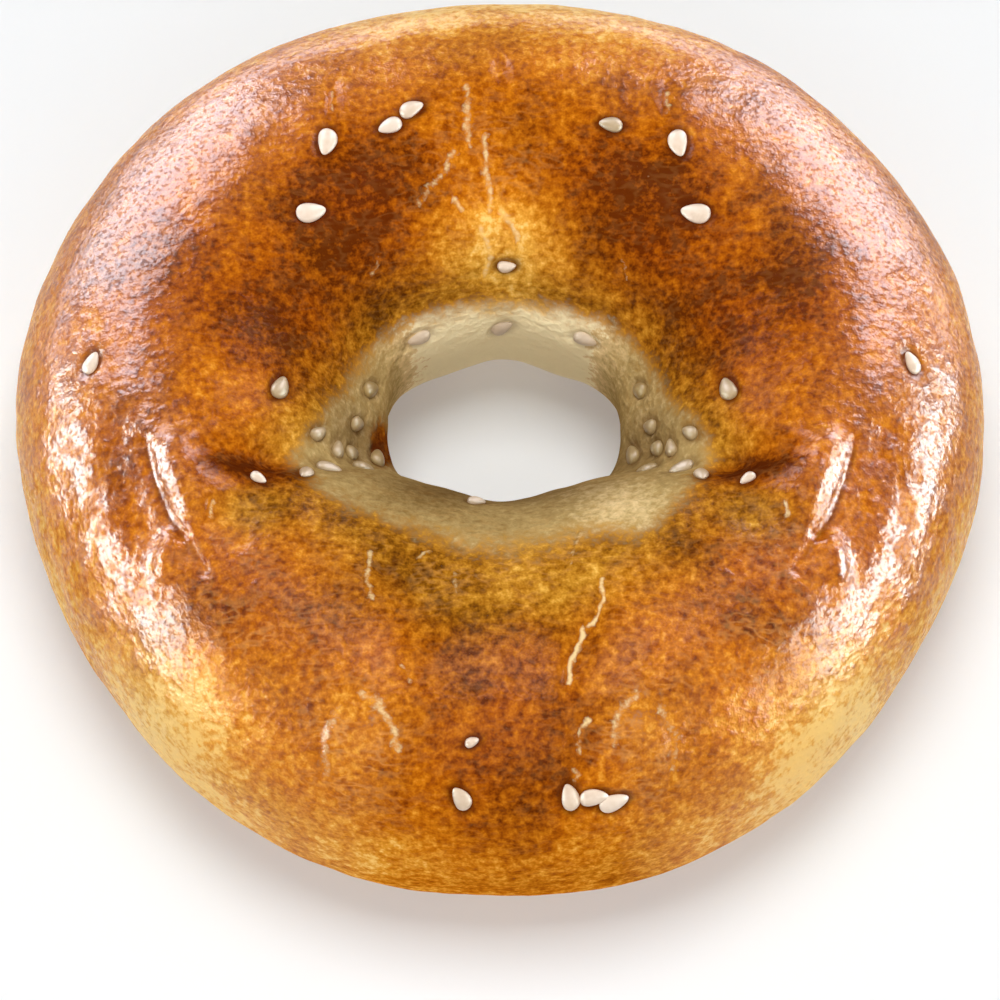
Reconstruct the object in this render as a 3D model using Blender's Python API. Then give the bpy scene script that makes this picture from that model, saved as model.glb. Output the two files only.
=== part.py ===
"""A bagel: one baked ring of dough with a browned, creased crust and a few sesame seeds baked onto it.

The ring stands on its flat foot at z = 0, with the middle of its outline over the origin. X runs left to
right, Y from the front of the bagel to its back, and Z up through the hole. A point of the crust has two
angles. Its turn goes around the hole: 0 at the right and 90 degrees at the back. Its roll goes round the
dough's section: 0 at the outer waist, 90 at the crest, 180 in the hole and 270 under the foot.
All sizes are in millimetres, and MM turns them into Blender's metres.
"""

import math
import random

import bmesh
import bpy
import numpy as np
from mathutils import Matrix, Vector, noise
from mathutils.bvhtree import BVHTree

MM = 0.001

# The ring's driving sizes.
WIDTH = 110.0
DEPTH = 106.7
HEIGHT = 37.0
HOLE_WIDTH = 27.1
HOLE_DEPTH = 21.7
HOLE_RIGHT = 0.5
HOLE_BACK = 1.0
OUTER_WAIST_Z = 16.0
HOLE_WAIST_Z = 18.0
FOOT_PRESSED = 0.7
CREST_SHARE = 0.47

# How far the outline and the hole leave an ellipse, as shares of their radius.
BROAD_BACK = 0.0147
ROUND_FRONT = 0.0025
HEXAGON = 0.0046
HOLE_HEXAGON = 0.03

# How square the section is in each quarter: 2 is an ellipse, and more is squarer.
OUTER_FULLNESS = 2.2
HOLE_SIDE_FULLNESS = 1.7
HOLE_END_FULLNESS = 2.2
FOOT_FULLNESS = 2.6

# Unevenness of the baked dough: the length of its waves and how far they reach.
LUMPS = (24.0, 0.45)
WRINKLES = (8.0, 0.22)

# Creases and ridges that come in like pairs, left and right.
# Each has its points (distance from the middle, y), half width and height.
PAIRED_FOLDS = [
    ([(12.5, -3.5), (18, -8), (24, -10)], 3.2, -2.0),  # valley that leads into the hole
    ([(24, -10), (27.5, -11), (32, -10.7)], 1.7, -1.0),  # dark crease at the valley's end
    ([(38.5, -9.5), (37.4, -14), (35.6, -18.5), (34.1, -20.5)], 0.8, -0.4),  # long fold on the cheek
    ([(34.1, -20.5), (31.6, -24.5)], 0.8, -0.3),  # inner end of the long fold
    ([(41.5, -8), (40, -14), (37.5, -20)], 2.4, -0.6),  # trough outside the long fold
    ([(2.5, 12.8), (7, 12.1), (11.5, 10.7)], 0.9, -0.4),  # step down from the brown crust to the hole
    ([(18.8, 34.5), (18.5, 30.0)], 0.8, -0.15),  # short scratch at the back
]

# Laps of dough, left and right alike, that rise inwards from a line and sink away behind it.
# Each has its line's points, how wide and how high its rise is, and how far behind the line it ends.
PAIRED_LAPS = [
    ([(38.7, -8.0), (37.4, -14), (35.6, -18.5), (33.6, -21.5)], 3.2, 1.4, 9.5),  # lip of the long fold
    ([(36.9, -18.8), (38.2, -22.0), (38.0, -26.0)], 2.4, 1.15, 4.8),  # nub outside its lower end
]
LAP_FADE = 0.22

# Creases that only one side has: points (x, y), half width, height.
SINGLE_FOLDS = [
    ([(-11.2, -19.1), (-7.5, -21.1), (-3.1, -21.5)], 0.9, -0.4),  # edge of the brown skin
    ([(11.3, -25.7), (10.8, -29.9), (8.9, -33.9), (7.3, -37.6), (7.5, -47.4)], 0.8, -0.5),  # crack
    ([(-3.5, 29.6), (-3.4, 25.1), (-2.5, 21.2)], 0.9, -0.4),  # wrinkles behind the hole
    ([(-1.4, 24.1), (-0.5, 20.4)], 0.8, -0.3),
    ([(-6.4, 25.0), (-8.0, 20.7)], 0.8, -0.3),
    ([(0.0, 37.5), (0.7, 31.0)], 0.9, -0.35),
]

# Round dents and blisters, left and right alike: centre, radius, height.
PAIRED_DOMES = [
    ((27.3, -18.3), 3.0, -0.7),  # shiny dent beside the valley
    ((13.5, -42.5), 5.0, 0.6),  # smooth blister at the front
    ((44.0, -22.0), 4.5, 0.4),  # bump on the cheek
]
PIT = ((-10.8, -24.7), 1.6, 0.9, -0.5)  # ring-shaped pit: centre, ring radius, half width, height

# Seeds: turn, roll and heading in degrees, and length.
# A heading of 0 points along the turn, and one of 90 along the roll.
SEED_WIDTH_SHARE = 0.64
SEED_THICKNESS = 1.15
SEED_SUNK = 0.12
SEED_SIDES = 6
SEED_RINGS = 4
SEED_TAPER = 0.3
PAIRED_SEEDS = [
    (127, 93, 49, 3.3),
    (140, 108, 148, 3.4),
    (207, 131.5, 50, 2.9),
    (208.8, 119, -50, 2.5),
    (208.8, 102, 26, 1.9),
    (186, 120, 150, 3.0),
    (173, 162, 123, 2.8),
    (199, 133, 113, 2.3),
    (180, 61, 148, 2.7),
    (203, 143, 145, 2.5),
    (202, 154, 109, 2.8),
    (206, 150, 60, 2.7),
    (192, 158, 106, 2.6),
    (200, 168, 134, 3.0),
]
SINGLE_SEEDS = [
    (138, 166, 0, 2.8),
    (44, 168, 180, 2.8),
    (114, 96, 4, 2.8),
    (108.5, 93, -165, 2.9),
    (67, 96, 7, 2.7),
    (89, 145, -178, 2.1),
    (91, 174, -132, 3.0),
    (266, 58, 30, 1.6),
    (265, 40, 119, 2.9),
    (278.5, 40, 95, 3.0),
    (281.5, 39, 2, 3.1),
    (283.8, 36.5, 13, 3.3),
    (258, 146, 35, 2.2),
]
STRAY_SEEDS = 6
STRAY_TURNS = (20, 160)
STRAY_ROLLS = (-25, 5)
STRAY_LENGTHS = (2.7, 3.3)
STRAY_DRAW = 5

# The fine grid that carries the relief, and the share of its triangles that the solid keeps.
TURNS = 320
ROLLS = 140
KEPT_SHARE = 0.094
FOOT_EVENNESS = 0.05
SOFT_EDGE = math.radians(50)

CRUST_COLOUR = (0.50, 0.21, 0.05, 1)
CRUST_ROUGHNESS = 0.35
SEED_COLOUR = (0.86, 0.72, 0.55, 1)
SEED_ROUGHNESS = 0.5


def ellipse_radius(turn, width, depth):
    """Distance from an ellipse's middle to its edge."""
    return width * depth / 2 / np.hypot(depth * np.cos(turn), width * np.sin(turn))


def outer_edge(turn):
    """Plan of the outer waist: an ellipse that is broad at the back and has six soft corners."""
    lobes = 1 + BROAD_BACK * np.sin(3 * turn) + ROUND_FRONT * np.sin(5 * turn)
    corners = HEXAGON * (np.cos(6 * turn) - 1)
    radius = ellipse_radius(turn, WIDTH, DEPTH) * (lobes + corners)
    middle_back = (BROAD_BACK - ROUND_FRONT) * DEPTH / 2
    return radius * np.cos(turn), radius * np.sin(turn) + middle_back


def hole_edge(turn):
    """Plan of the hole at its narrowest."""
    radius = ellipse_radius(turn, HOLE_WIDTH, HOLE_DEPTH) * (1 - HOLE_HEXAGON * np.cos(6 * turn))
    return radius * np.cos(turn) + HOLE_RIGHT, radius * np.sin(turn) + HOLE_BACK


def smooth_ring(turn, roll):
    """Points of the ring before its relief, which dip below z = 0 where the foot will be flat."""
    outer_x, outer_y = outer_edge(turn)
    hole_x, hole_y = hole_edge(turn)
    crest_x = outer_x + CREST_SHARE * (hole_x - outer_x)
    crest_y = outer_y + CREST_SHARE * (hole_y - outer_y)
    upper = np.sin(roll) > 0
    inner = np.cos(roll) < 0
    hole_fullness = HOLE_SIDE_FULLNESS + (HOLE_END_FULLNESS - HOLE_SIDE_FULLNESS) * np.sin(turn) ** 2
    fullness = np.where(upper, np.where(inner, hole_fullness, OUTER_FULLNESS), FOOT_FULLNESS)
    reach = (np.abs(np.cos(roll)) ** fullness + np.abs(np.sin(roll)) ** fullness) ** (-1 / fullness)
    across = reach * np.cos(roll)
    rise = reach * np.sin(roll)
    waist_z = OUTER_WAIST_Z + (HOLE_WAIST_Z - OUTER_WAIST_Z) * (1 - across) / 2
    x = crest_x + across * np.where(inner, crest_x - hole_x, outer_x - crest_x)
    y = crest_y + across * np.where(inner, crest_y - hole_y, outer_y - crest_y)
    z = waist_z + rise * np.where(upper, HEIGHT - waist_z, waist_z + FOOT_PRESSED)
    return np.stack([x, y, z], axis=-1)


def outward(points):
    """Unit normals of a closed grid of points."""
    along_turn = np.roll(points, -1, axis=0) - np.roll(points, 1, axis=0)
    along_roll = np.roll(points, -1, axis=1) - np.roll(points, 1, axis=1)
    normals = np.cross(along_turn, along_roll)
    return normals / np.linalg.norm(normals, axis=-1, keepdims=True)


def distance_to_path(plan, path):
    """Distance in plan from each point to a line through the path's points."""
    nearest = np.full(plan.shape[:-1], np.inf)
    for start, end in zip(np.array(path[:-1], float), np.array(path[1:], float)):
        run = end - start
        share = np.clip((plan - start) @ run / (run @ run), 0, 1)
        nearest = np.minimum(nearest, np.linalg.norm(plan - start - share[..., None] * run, axis=-1))
    return nearest


def along_and_inwards(plan, path):
    """Each point's share of the way along a path, and its distance from it, positive towards the middle."""
    nearest = np.full(plan.shape[:-1], np.inf)
    along = np.zeros(plan.shape[:-1])
    inwards = np.zeros(plan.shape[:-1])
    corners = np.array(path, float)
    runs = np.diff(corners, axis=0)
    lengths = np.linalg.norm(runs, axis=1)
    for start, run, length, before in zip(corners, runs, lengths, np.cumsum(lengths) - lengths):
        share = np.clip((plan - start) @ run / length**2, 0, 1)
        away = plan - start - share[..., None] * run
        distance = np.linalg.norm(away, axis=-1)
        side = np.sign(away[..., 0] * run[1] - away[..., 1] * run[0])
        closer = distance < nearest
        nearest = np.where(closer, distance, nearest)
        along = np.where(closer, (before + share * length) / lengths.sum(), along)
        inwards = np.where(closer, distance * side, inwards)
    return along, inwards


def ramp(value, low, high):
    """0 below low, 1 above high, smooth between."""
    share = np.clip((value - low) / (high - low), 0, 1)
    return share * share * (3 - 2 * share)


def lap(plan, path, width, height, reach):
    """A rise that starts at a path, is highest at its width, ends at its reach, and fades at both ends."""
    along, inwards = along_and_inwards(plan, path)
    fade = ramp(along, 0, LAP_FADE) * (1 - ramp(along, 1 - LAP_FADE, 1))
    return height * fade * ramp(inwards, 0, width) * (1 - ramp(inwards, width, reach))


def bell(distance, half_width):
    return np.exp(-((distance / half_width) ** 2))


def waves(points, length, height, seed):
    """Smooth unevenness that has no direction."""
    flat = points.reshape(-1, 3) / length + seed
    return height * np.array([noise.noise(Vector(p)) for p in flat]).reshape(points.shape[:-1])


def relief(points):
    """How far each point of the crust stands out, or in, along its normal."""
    plan = points[..., :2]
    folded = np.stack([np.abs(points[..., 0]), points[..., 1]], axis=-1)
    marks = np.zeros(points.shape[:-1])
    for path, half_width, height in PAIRED_FOLDS:
        marks += height * bell(distance_to_path(folded, path), half_width)
    for path, width, height, reach in PAIRED_LAPS:
        marks += lap(folded, path, width, height, reach)
    for path, half_width, height in SINGLE_FOLDS:
        marks += height * bell(distance_to_path(plan, path), half_width)
    for centre, radius, height in PAIRED_DOMES:
        marks += height * bell(np.linalg.norm(folded - centre, axis=-1), radius)
    centre, ring_radius, half_width, height = PIT
    marks += height * bell(np.linalg.norm(plan - centre, axis=-1) - ring_radius, half_width)
    upper_side = np.clip((points[..., 2] - HOLE_WAIST_Z) / (HEIGHT - HOLE_WAIST_Z) * 3, 0, 1)
    return marks * upper_side + waves(points, *LUMPS, 3.7) + waves(points, *WRINKLES, 11.2)


def crust_points():
    """The whole crust as a closed grid of points, TURNS by ROLLS."""
    turn, roll = np.meshgrid(
        np.arange(TURNS) * 2 * math.pi / TURNS,
        np.arange(ROLLS) * 2 * math.pi / ROLLS,
        indexing="ij",
    )
    points = smooth_ring(turn, roll)
    points = points + outward(points) * relief(points)[..., None]
    points[..., 2] = np.maximum(points[..., 2], 0)
    return points


def material(name, colour, roughness):
    made = bpy.data.materials.new(name)
    made.use_nodes = True
    shader = made.node_tree.nodes["Principled BSDF"]
    shader.inputs["Base Color"].default_value = colour
    shader.inputs["Roughness"].default_value = roughness
    shader.inputs["Metallic"].default_value = 0
    return made


def crust_object():
    """The ring as one closed mesh, thinned to few triangles where it is plain."""
    points = crust_points() * MM
    mesh = bpy.data.meshes.new("bagel")
    faces = []
    for i in range(TURNS):
        here, ahead = i * ROLLS, (i + 1) % TURNS * ROLLS
        for j in range(ROLLS):
            up = (j + 1) % ROLLS
            faces.append((here + j, ahead + j, ahead + up, here + up))
    mesh.from_pydata(points.reshape(-1, 3).tolist(), [], faces)
    mesh.materials.append(material("crust", CRUST_COLOUR, CRUST_ROUGHNESS))
    crust = bpy.data.objects.new("bagel", mesh)
    bpy.context.scene.collection.objects.link(crust)
    thin = crust.modifiers.new("thin", "DECIMATE")
    thin.ratio = KEPT_SHARE
    apply_modifiers(crust)
    return crust


def apply_modifiers(piece):
    """Replaces a piece's mesh by what its modifiers make of it."""
    made = bpy.data.meshes.new_from_object(piece.evaluated_get(bpy.context.evaluated_depsgraph_get()))
    old = piece.data
    piece.modifiers.clear()
    piece.data = made
    bpy.data.meshes.remove(old)
    made.name = piece.name


def press_foot(mesh):
    """Takes out what thinning left of unevenness under the foot."""
    for vertex in mesh.vertices:
        if vertex.co.z < FOOT_EVENNESS * MM:
            vertex.co.z = 0


def seed_mesh(length):
    """A sesame seed: a flat drop that lies along X, with its point at +X."""
    mesh = bpy.data.meshes.new("seed")
    form = bmesh.new()
    bmesh.ops.create_uvsphere(form, u_segments=SEED_SIDES, v_segments=SEED_RINGS, radius=0.5 * MM)
    bmesh.ops.rotate(form, verts=form.verts, matrix=Matrix.Rotation(math.pi / 2, 3, "Y"))
    for vertex in form.verts:
        share = vertex.co.x / (0.5 * MM)
        slim = 1 - SEED_TAPER * share
        vertex.co.x *= length
        vertex.co.y *= length * SEED_WIDTH_SHARE * slim
        vertex.co.z *= SEED_THICKNESS * slim
    form.to_mesh(mesh)
    form.free()
    mesh.materials.append(material("sesame_seed", SEED_COLOUR, SEED_ROUGHNESS))
    return mesh


def seat(surface, turn, roll, heading):
    """Where a seed lies: its X along its heading, and its Z out of the crust."""
    turn, roll, heading = math.radians(turn), math.radians(roll), math.radians(heading)
    step = math.radians(1)
    place = Vector(smooth_ring(turn, roll))
    along_turn = (Vector(smooth_ring(turn + step, roll)) - place).normalized()
    along_roll = (Vector(smooth_ring(turn, roll + step)) - place).normalized()
    spot, normal, _, _ = surface.find_nearest(place * MM)
    along = along_turn * math.cos(heading) + along_roll * math.sin(heading)
    along = (along - along.dot(normal) * normal).normalized()
    turned = Matrix((along, normal.cross(along), normal)).transposed().to_4x4()
    return Matrix.Translation(spot - normal * SEED_SUNK * MM) @ turned


def seed_places():
    """Every seed's turn, roll, heading and length."""
    places = list(SINGLE_SEEDS)
    for turn, roll, heading, length in PAIRED_SEEDS:
        places += [(turn, roll, heading, length), (180 - turn, roll, 180 - heading, length)]
    draw = random.Random(STRAY_DRAW)
    for _ in range(STRAY_SEEDS):
        turn = draw.uniform(*STRAY_TURNS)
        roll = draw.uniform(*STRAY_ROLLS)
        heading = draw.uniform(0, 360)
        places.append((turn, roll, heading, draw.uniform(*STRAY_LENGTHS)))
    return places


def fuse_seeds(crust):
    """Joins all the seeds to the crust with one union."""
    form = bmesh.new()
    form.from_mesh(crust.data)
    surface = BVHTree.FromBMesh(form)
    form.free()
    seeds = bpy.data.collections.new("seeds")
    bpy.context.scene.collection.children.link(seeds)
    for turn, roll, heading, length in seed_places():
        seed = bpy.data.objects.new("seed", seed_mesh(length))
        seed.matrix_world = seat(surface, turn, roll, heading)
        seeds.objects.link(seed)
    union = crust.modifiers.new("seeds", "BOOLEAN")
    union.operation = "UNION"
    union.operand_type = "COLLECTION"
    union.collection = seeds
    union.material_mode = "TRANSFER"
    apply_modifiers(crust)
    for seed in list(seeds.objects):
        bpy.data.objects.remove(seed)
    bpy.data.collections.remove(seeds)


def centre_outline(mesh):
    """Puts the middle of the outline over the origin."""
    corners = np.array([vertex.co for vertex in mesh.vertices])
    middle = (corners.min(axis=0) + corners.max(axis=0)) / 2
    mesh.transform(Matrix.Translation((-middle[0], -middle[1], 0)))


def main():
    for old in list(bpy.data.objects):
        bpy.data.objects.remove(old)
    crust = crust_object()
    press_foot(crust.data)
    fuse_seeds(crust)
    centre_outline(crust.data)
    crust.data.shade_smooth()
    crust.data.set_sharp_from_angle(angle=SOFT_EDGE)


main()
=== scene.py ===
"""The looks of a bagel: a finer crust with its browning, gloss and wrinkles, and its sesame seeds.

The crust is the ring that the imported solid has, with the same driving sizes, so it lies where the solid
lies. A point of it has two angles. Its turn goes around the hole: 0 at the right and 90 degrees at the back.
Its roll goes round the dough's section: 0 at the outer waist, 90 at the crest, 180 in the hole and 270 under
the foot. Sizes are in millimetres, and MM turns them into Blender's metres.
"""

import math
import random

import bmesh
import bpy
import numpy as np
from mathutils import Matrix, Vector, noise
from mathutils.bvhtree import BVHTree


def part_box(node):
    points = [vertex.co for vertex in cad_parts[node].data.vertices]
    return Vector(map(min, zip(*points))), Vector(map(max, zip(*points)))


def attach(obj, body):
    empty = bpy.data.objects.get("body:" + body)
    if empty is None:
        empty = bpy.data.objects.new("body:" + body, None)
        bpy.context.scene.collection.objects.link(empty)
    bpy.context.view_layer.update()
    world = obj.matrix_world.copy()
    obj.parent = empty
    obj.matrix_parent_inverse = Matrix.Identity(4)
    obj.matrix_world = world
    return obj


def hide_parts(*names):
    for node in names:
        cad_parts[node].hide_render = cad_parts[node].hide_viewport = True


MM = 0.001

# The ring's driving sizes.
WIDTH = 110.0
DEPTH = 106.7
HEIGHT = 37.0
HOLE_WIDTH = 27.1
HOLE_DEPTH = 21.7
HOLE_RIGHT = 0.5
HOLE_BACK = 1.0
OUTER_WAIST_Z = 16.0
HOLE_WAIST_Z = 18.0
FOOT_PRESSED = 0.7  # how far the section would dip under the board if the foot weren't flat
CREST_SHARE = 0.47  # where the crest lies on the way from the outer waist to the hole

# How far the outline and the hole leave an ellipse, as shares of their radius.
BROAD_BACK = 0.0147
ROUND_FRONT = 0.0025
HEXAGON = 0.0046
HOLE_HEXAGON = 0.03

# How square the section is in each quarter: 2 is an ellipse, and more is squarer.
OUTER_FULLNESS = 2.2
HOLE_SIDE_FULLNESS = 1.7
HOLE_END_FULLNESS = 2.2
FOOT_FULLNESS = 2.6

# Unevenness of the baked dough: the length of its waves, how far they reach, and where the noise starts.
WAVES = [
    (24.0, 0.45, 3.7),
    (8.0, 0.22, 11.2),
    (3.2, 0.10, 5.1),
    (1.7, 0.035, 8.6),
]

# Creases and ridges that come in like pairs, left and right.
# Each has its points (distance from the middle, y), half width and height.
PAIRED_FOLDS = [
    ([(12.5, -3.5), (18, -8), (24, -10)], 3.2, -2.0),  # valley that leads into the hole
    ([(24, -10), (27.5, -11), (32, -10.7)], 1.7, -1.0),  # dark crease at the valley's end
    ([(38.5, -9.5), (37.4, -14), (35.6, -18.5), (34.1, -20.5)], 0.8, -0.4),  # long fold on the cheek
    ([(34.1, -20.5), (31.6, -24.5)], 0.8, -0.3),  # inner end of the long fold
    ([(41.5, -8), (40, -14), (37.5, -20)], 2.4, -0.6),  # trough outside the long fold
    ([(2.5, 12.8), (7, 12.1), (11.5, 10.7)], 0.9, -0.4),  # step down from the brown crust to the hole
    ([(18.8, 34.5), (18.5, 30.0)], 0.8, -0.15),  # short scratch at the back
]

# Laps of dough, left and right alike, that rise inwards from a line and sink away behind it.
# Each has its line's points, how wide and how high its rise is, and how far behind the line it ends.
# At both ends it fades over the same share of its length.
LAP_FADE = 0.22
PAIRED_LAPS = [
    ([(38.7, -8.0), (37.4, -14), (35.6, -18.5), (33.6, -21.5)], 3.2, 1.4, 9.5),  # lip of the long fold
    ([(36.9, -18.8), (38.2, -22.0), (38.0, -26.0)], 2.4, 1.15, 4.8),  # nub outside its lower end
]

# Creases that only one side has: points (x, y), half width, height.
SINGLE_FOLDS = [
    ([(-11.2, -19.1), (-7.5, -21.1), (-3.1, -21.5)], 0.9, -0.4),  # edge of the brown skin
    ([(11.3, -25.7), (10.8, -29.9), (8.9, -33.9), (7.3, -37.6), (7.5, -47.4)], 0.8, -0.5),  # crack
    ([(-3.5, 29.6), (-3.4, 25.1), (-2.5, 21.2)], 0.9, -0.4),  # wrinkles behind the hole
    ([(-1.4, 24.1), (-0.5, 20.4)], 0.8, -0.3),
    ([(-6.4, 25.0), (-8.0, 20.7)], 0.8, -0.3),
    ([(0.0, 37.5), (0.7, 31.0)], 0.9, -0.35),
]

# Round dents and blisters, left and right alike: centre, radius, height.
PAIRED_DOMES = [
    ((27.3, -18.3), 3.0, -0.7),  # shiny dent beside the valley
    ((13.5, -42.5), 5.0, 0.6),  # smooth blister at the front
    ((44.0, -22.0), 4.5, 0.4),  # bump on the cheek
]
PIT = ((-10.8, -24.7), 1.6, 0.9, -0.5)  # ring-shaped pit: centre, ring radius, half width, height

# Creases, laps, dents and cracks fade in over this share of the height from the hole's waist to the crest.
RELIEF_FADE = 1 / 3

# Cracks and creases whose raised edge is pale, partly dough that baked pale and partly painted highlight
# along
# the edge: points (x, y), half width, how pale. The arcs on the front blisters are painted highlights.
SINGLE_SCARS_AND_HIGHLIGHTS = [
    ([(10.9, -25.8), (10.8, -29.2), (9.5, -31.5)], 0.28, 0.8),
    ([(8.9, -31.7), (8.0, -34.3), (7.3, -35.7), (7.3, -37.4)], 0.36, 1.0),
    ([(9.3, -41.4), (8.5, -42.2), (8.4, -43.2)], 0.32, 0.7),
    ([(8.1, -43.4), (8.5, -44.4)], 0.3, 0.7),
    ([(7.6, -45.6), (8.1, -46.3), (7.9, -47.1)], 0.32, 0.7),
    ([(-3.7, 34.3), (-3.7, 30.5), (-3.4, 27.3)], 0.6, 0.62),
    ([(-1.8, 28.1), (-1.5, 24.2), (-1.0, 21.3), (-1.2, 20.2)], 0.5, 0.66),
    ([(-5.1, 26.3), (-6.2, 24.3), (-9.0, 20.8)], 0.55, 0.6),
    ([(-5.1, 21.1), (-4.3, 20.0)], 0.35, 0.7),
    ([(0.3, 20.1), (1.3, 18.9), (1.6, 18.4), (2.0, 17.6)], 0.45, 0.66),
    ([(-2.2, 18.4), (-1.0, 16.4), (-1.7, 14.8)], 0.5, 0.6),
    ([(-14.0, -22.7), (-14.2, -25.6), (-13.6, -28.3)], 0.35, 0.65),
    ([(-8.7, -23.0), (-7.8, -22.0)], 0.3, 0.65),
    ([(-5.1, -24.7), (-4.7, -27.4)], 0.3, 0.5),
    ([(8.8, -19.7), (8.0, -22.1), (7.5, -24.3)], 0.3, 0.5),
    ([(-10.4, -35.8), (-9.4, -37.3)], 0.35, 0.5),
    # painted highlights: arcs of light on the front blisters
    ([(-14.5, -38.8), (-12.8, -39.8), (-11.3, -42.0), (-10.9, -44.0)], 0.65, 0.66),
    ([(14.5, -38.7), (12.4, -40.8), (11.9, -43.5)], 0.65, 0.58),
]
# The same for scars and painted highlights that come in like pairs, left and right.
PAIRED_SCARS_AND_HIGHLIGHTS = [
    ([(13.5, 15.0), (14.2, 13.4)], 0.25, 0.6),
    ([(18.9, 33.4), (18.7, 30.8)], 0.25, 0.55),
    ([(17.0, -40.0), (18.6, -42.5), (18.4, -45.5)], 0.6, 0.5),
    # painted glint on the cheek beside the shiny dent
    ([(30.7, -17.2), (31.0, -18.6)], 0.35, 0.7),
]
# A scar is a pale raised edge, partly painted highlight, with a groove along its left, and its line wobbles.
SCAR_DEPTH = 0.3
SCAR_SIDE = 0.5
SCAR_WOBBLE = 0.35
SCAR_WOBBLE_LENGTH = 1.1
SCAR_WOBBLE_STARTS = (2.3, 6.9)
# The glaze is missing along a scar over so many times its width.
MATT_SPREAD = 4.0

# Patches have a centre, radii, and how much they change. Paired ones are there left and right alike.

# Where fine pale veins, partly painted highlights on the wrinkles, show more clearly than elsewhere.
FAINT_VEINS = 0.15
VEIN_PATCHES = [
    ((-15.5, -43.0), (5.5, 6.0), 0.9),
    ((15.5, -43.0), (5.5, 6.0), 0.8),
    ((-2.0, 24.0), (7.0, 8.0), 0.45),
    ((0.0, -24.0), (17.0, 5.0), 0.5),
]
PAIRED_VEIN_PATCHES = [
    ((27.0, -34.0), (7.0, 6.0), 0.6),
    ((30.0, -20.0), (5.0, 7.0), 0.4),
]

# Where the pale dough round the hole ends: its turn counted from the front, and the roll there.
PALE_EDGE = [
    (0, 121),
    (35, 119),
    (52, 115),
    (67, 121),
    (80, 138),
    (88, 147),
    (100, 152),
    (120, 158),
    (180, 161),
]
PALE_BLUR = 12.0
PALE_UNDER = (205, 235)  # rolls between which it gives way to the foot
# Patches that are paler or browner than that; the two on the front blisters are a painted sheen.
PALE_AND_SHEEN_PATCHES = [
    ((0.0, -24.5), (13.0, 3.5), 0.15),
    ((15.0, -18.0), (3.5, 4.0), 0.5),
    ((-11.5, -24.0), (3.5, 3.5), -0.3),
    # painted sheen on the front blisters
    ((-14.0, -41.5), (2.6, 4.2), 0.22),
    ((15.0, -41.0), (3.0, 4.0), 0.28),
    ((-13.2, -2.7), (1.4, 3.0), -1.2),
]

# How light the pale dough is on the hole's far and near walls, between which turns from the front the one
# starts and the other ends, and patches that are lighter or darker. The far wall's lightness is painted
# light, the near wall's darkness painted shade, and the patches on the front blisters a painted sheen.
FAR_DOUGH_LIGHT = 0.95
FAR_WALL = (100, 155)
NEAR_DOUGH_SHADE = -0.1
NEAR_WALL = (40, 90)
DOUGH_TONE_AND_SHEEN_PATCHES = [
    ((12.5, -16.0), (6.0, 4.5), 0.42),
    ((-11.0, -15.0), (6.0, 3.5), -0.25),
    # painted sheen on the two front blisters
    ((-14.5, -41.5), (5.0, 6.0), 0.8),
    ((15.0, -41.0), (5.0, 6.0), 0.8),
]

# How far the yellow-brown border of the pale dough reaches over the crust, as roll, and patches like it.
HALO_REACH = 34.0
HALO_PATCHES = [
    ((0.0, -28.0), (14.0, 7.0), 0.75),
    ((0.0, 17.0), (13.0, 5.0), 0.35),
    ((0.0, 52.0), (16.0, 8.0), 0.5),
    ((-13.2, -2.7), (1.8, 3.4), -1.0),
]
PAIRED_HALO_PATCHES = [
    ((27.0, -12.4), (6.0, 2.5), -0.95),
    ((27.4, -18.2), (3.4, 3.2), 0.9),
    ((40.0, -36.0), (7.0, 7.0), 0.5),
]

# Painted shade along the folds' creases: points (x, y), half width, how dark. Paired ones are there left and
# right alike.
PAIRED_CREASE_SHADES = [
    ([(38.3, -10.5), (37.3, -14), (35.5, -18.5), (34.1, -20.5)], 0.38, 0.75),
    ([(34.1, -20.5), (32.6, -23.0)], 0.35, 0.4),
    ([(24.8, -12.6), (27.5, -12.0), (31.2, -12.9)], 1.1, 0.6),
]
SINGLE_CREASE_SHADES = [
    ([(-11.6, -19.3), (-8.1, -18.9), (-5.7, -20.9), (-4.0, -21.9)], 0.35, 0.55),
    ([(-12.1, -25.9), (-11.5, -23.8), (-10.8, -23.3)], 0.4, 0.55),
    ([(-11.4, -26.7), (-10.0, -26.3)], 0.4, 0.5),
]

# How shiny the crust is outside and inside its crest, and the rolls between which the glaze starts on the
# flank, thins at the crest and ends by the hole.
GLAZE_OUTER = 0.95
GLAZE_INNER = 0.05
GLAZE_START = (320, 352)
GLAZE_CREST = (72, 100)
GLAZE_END = (105, 130)
PAIRED_GLAZE_PATCHES = [
    ((0.0, -45.0), (24.0, 9.0), -0.5),
    ((0.0, -54.0), (30.0, 8.0), -0.95),
    ((30.5, -36.0), (7.0, 7.0), -0.7),
    ((28.0, -11.5), (5.5, 2.6), -0.35),
    ((18.7, 32.0), (2.5, 5.0), -0.4),
    ((0.0, 42.0), (14.0, 12.0), -0.6),
    ((15.0, -42.5), (4.5, 5.0), 0.5),
    ((9.0, -35.0), (3.5, 12.0), -0.6),
    ((37.0, -14.5), (3.4, 9.0), 0.45),
]
# Where the glaze is thick in some spots and missing in others.
PAIRED_BLOTCHES = [
    ((44.0, -16.0), (13.0, 19.0), 1.0),
]

# Painted shade in the hole's ends and on its near wall, and the rolls between which it starts.
PAINTED_SHADE_START = (115, 142)
PAIRED_PAINTED_SHADES = [
    ((15.0, -4.0), (4.5, 4.0), 0.52),
    ((0.0, -11.5), (14.0, 2.6), 0.6),
    ((8.0, -14.5), (7.0, 3.0), 0.2),
]

# Browning of the crust from 0, golden, to 1, dark: outside at the waist, on top, and under the foot.
BROWN_WAIST = 0.22
BROWN_TOP = 0.57
BROWN_FOOT = 0.45
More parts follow.
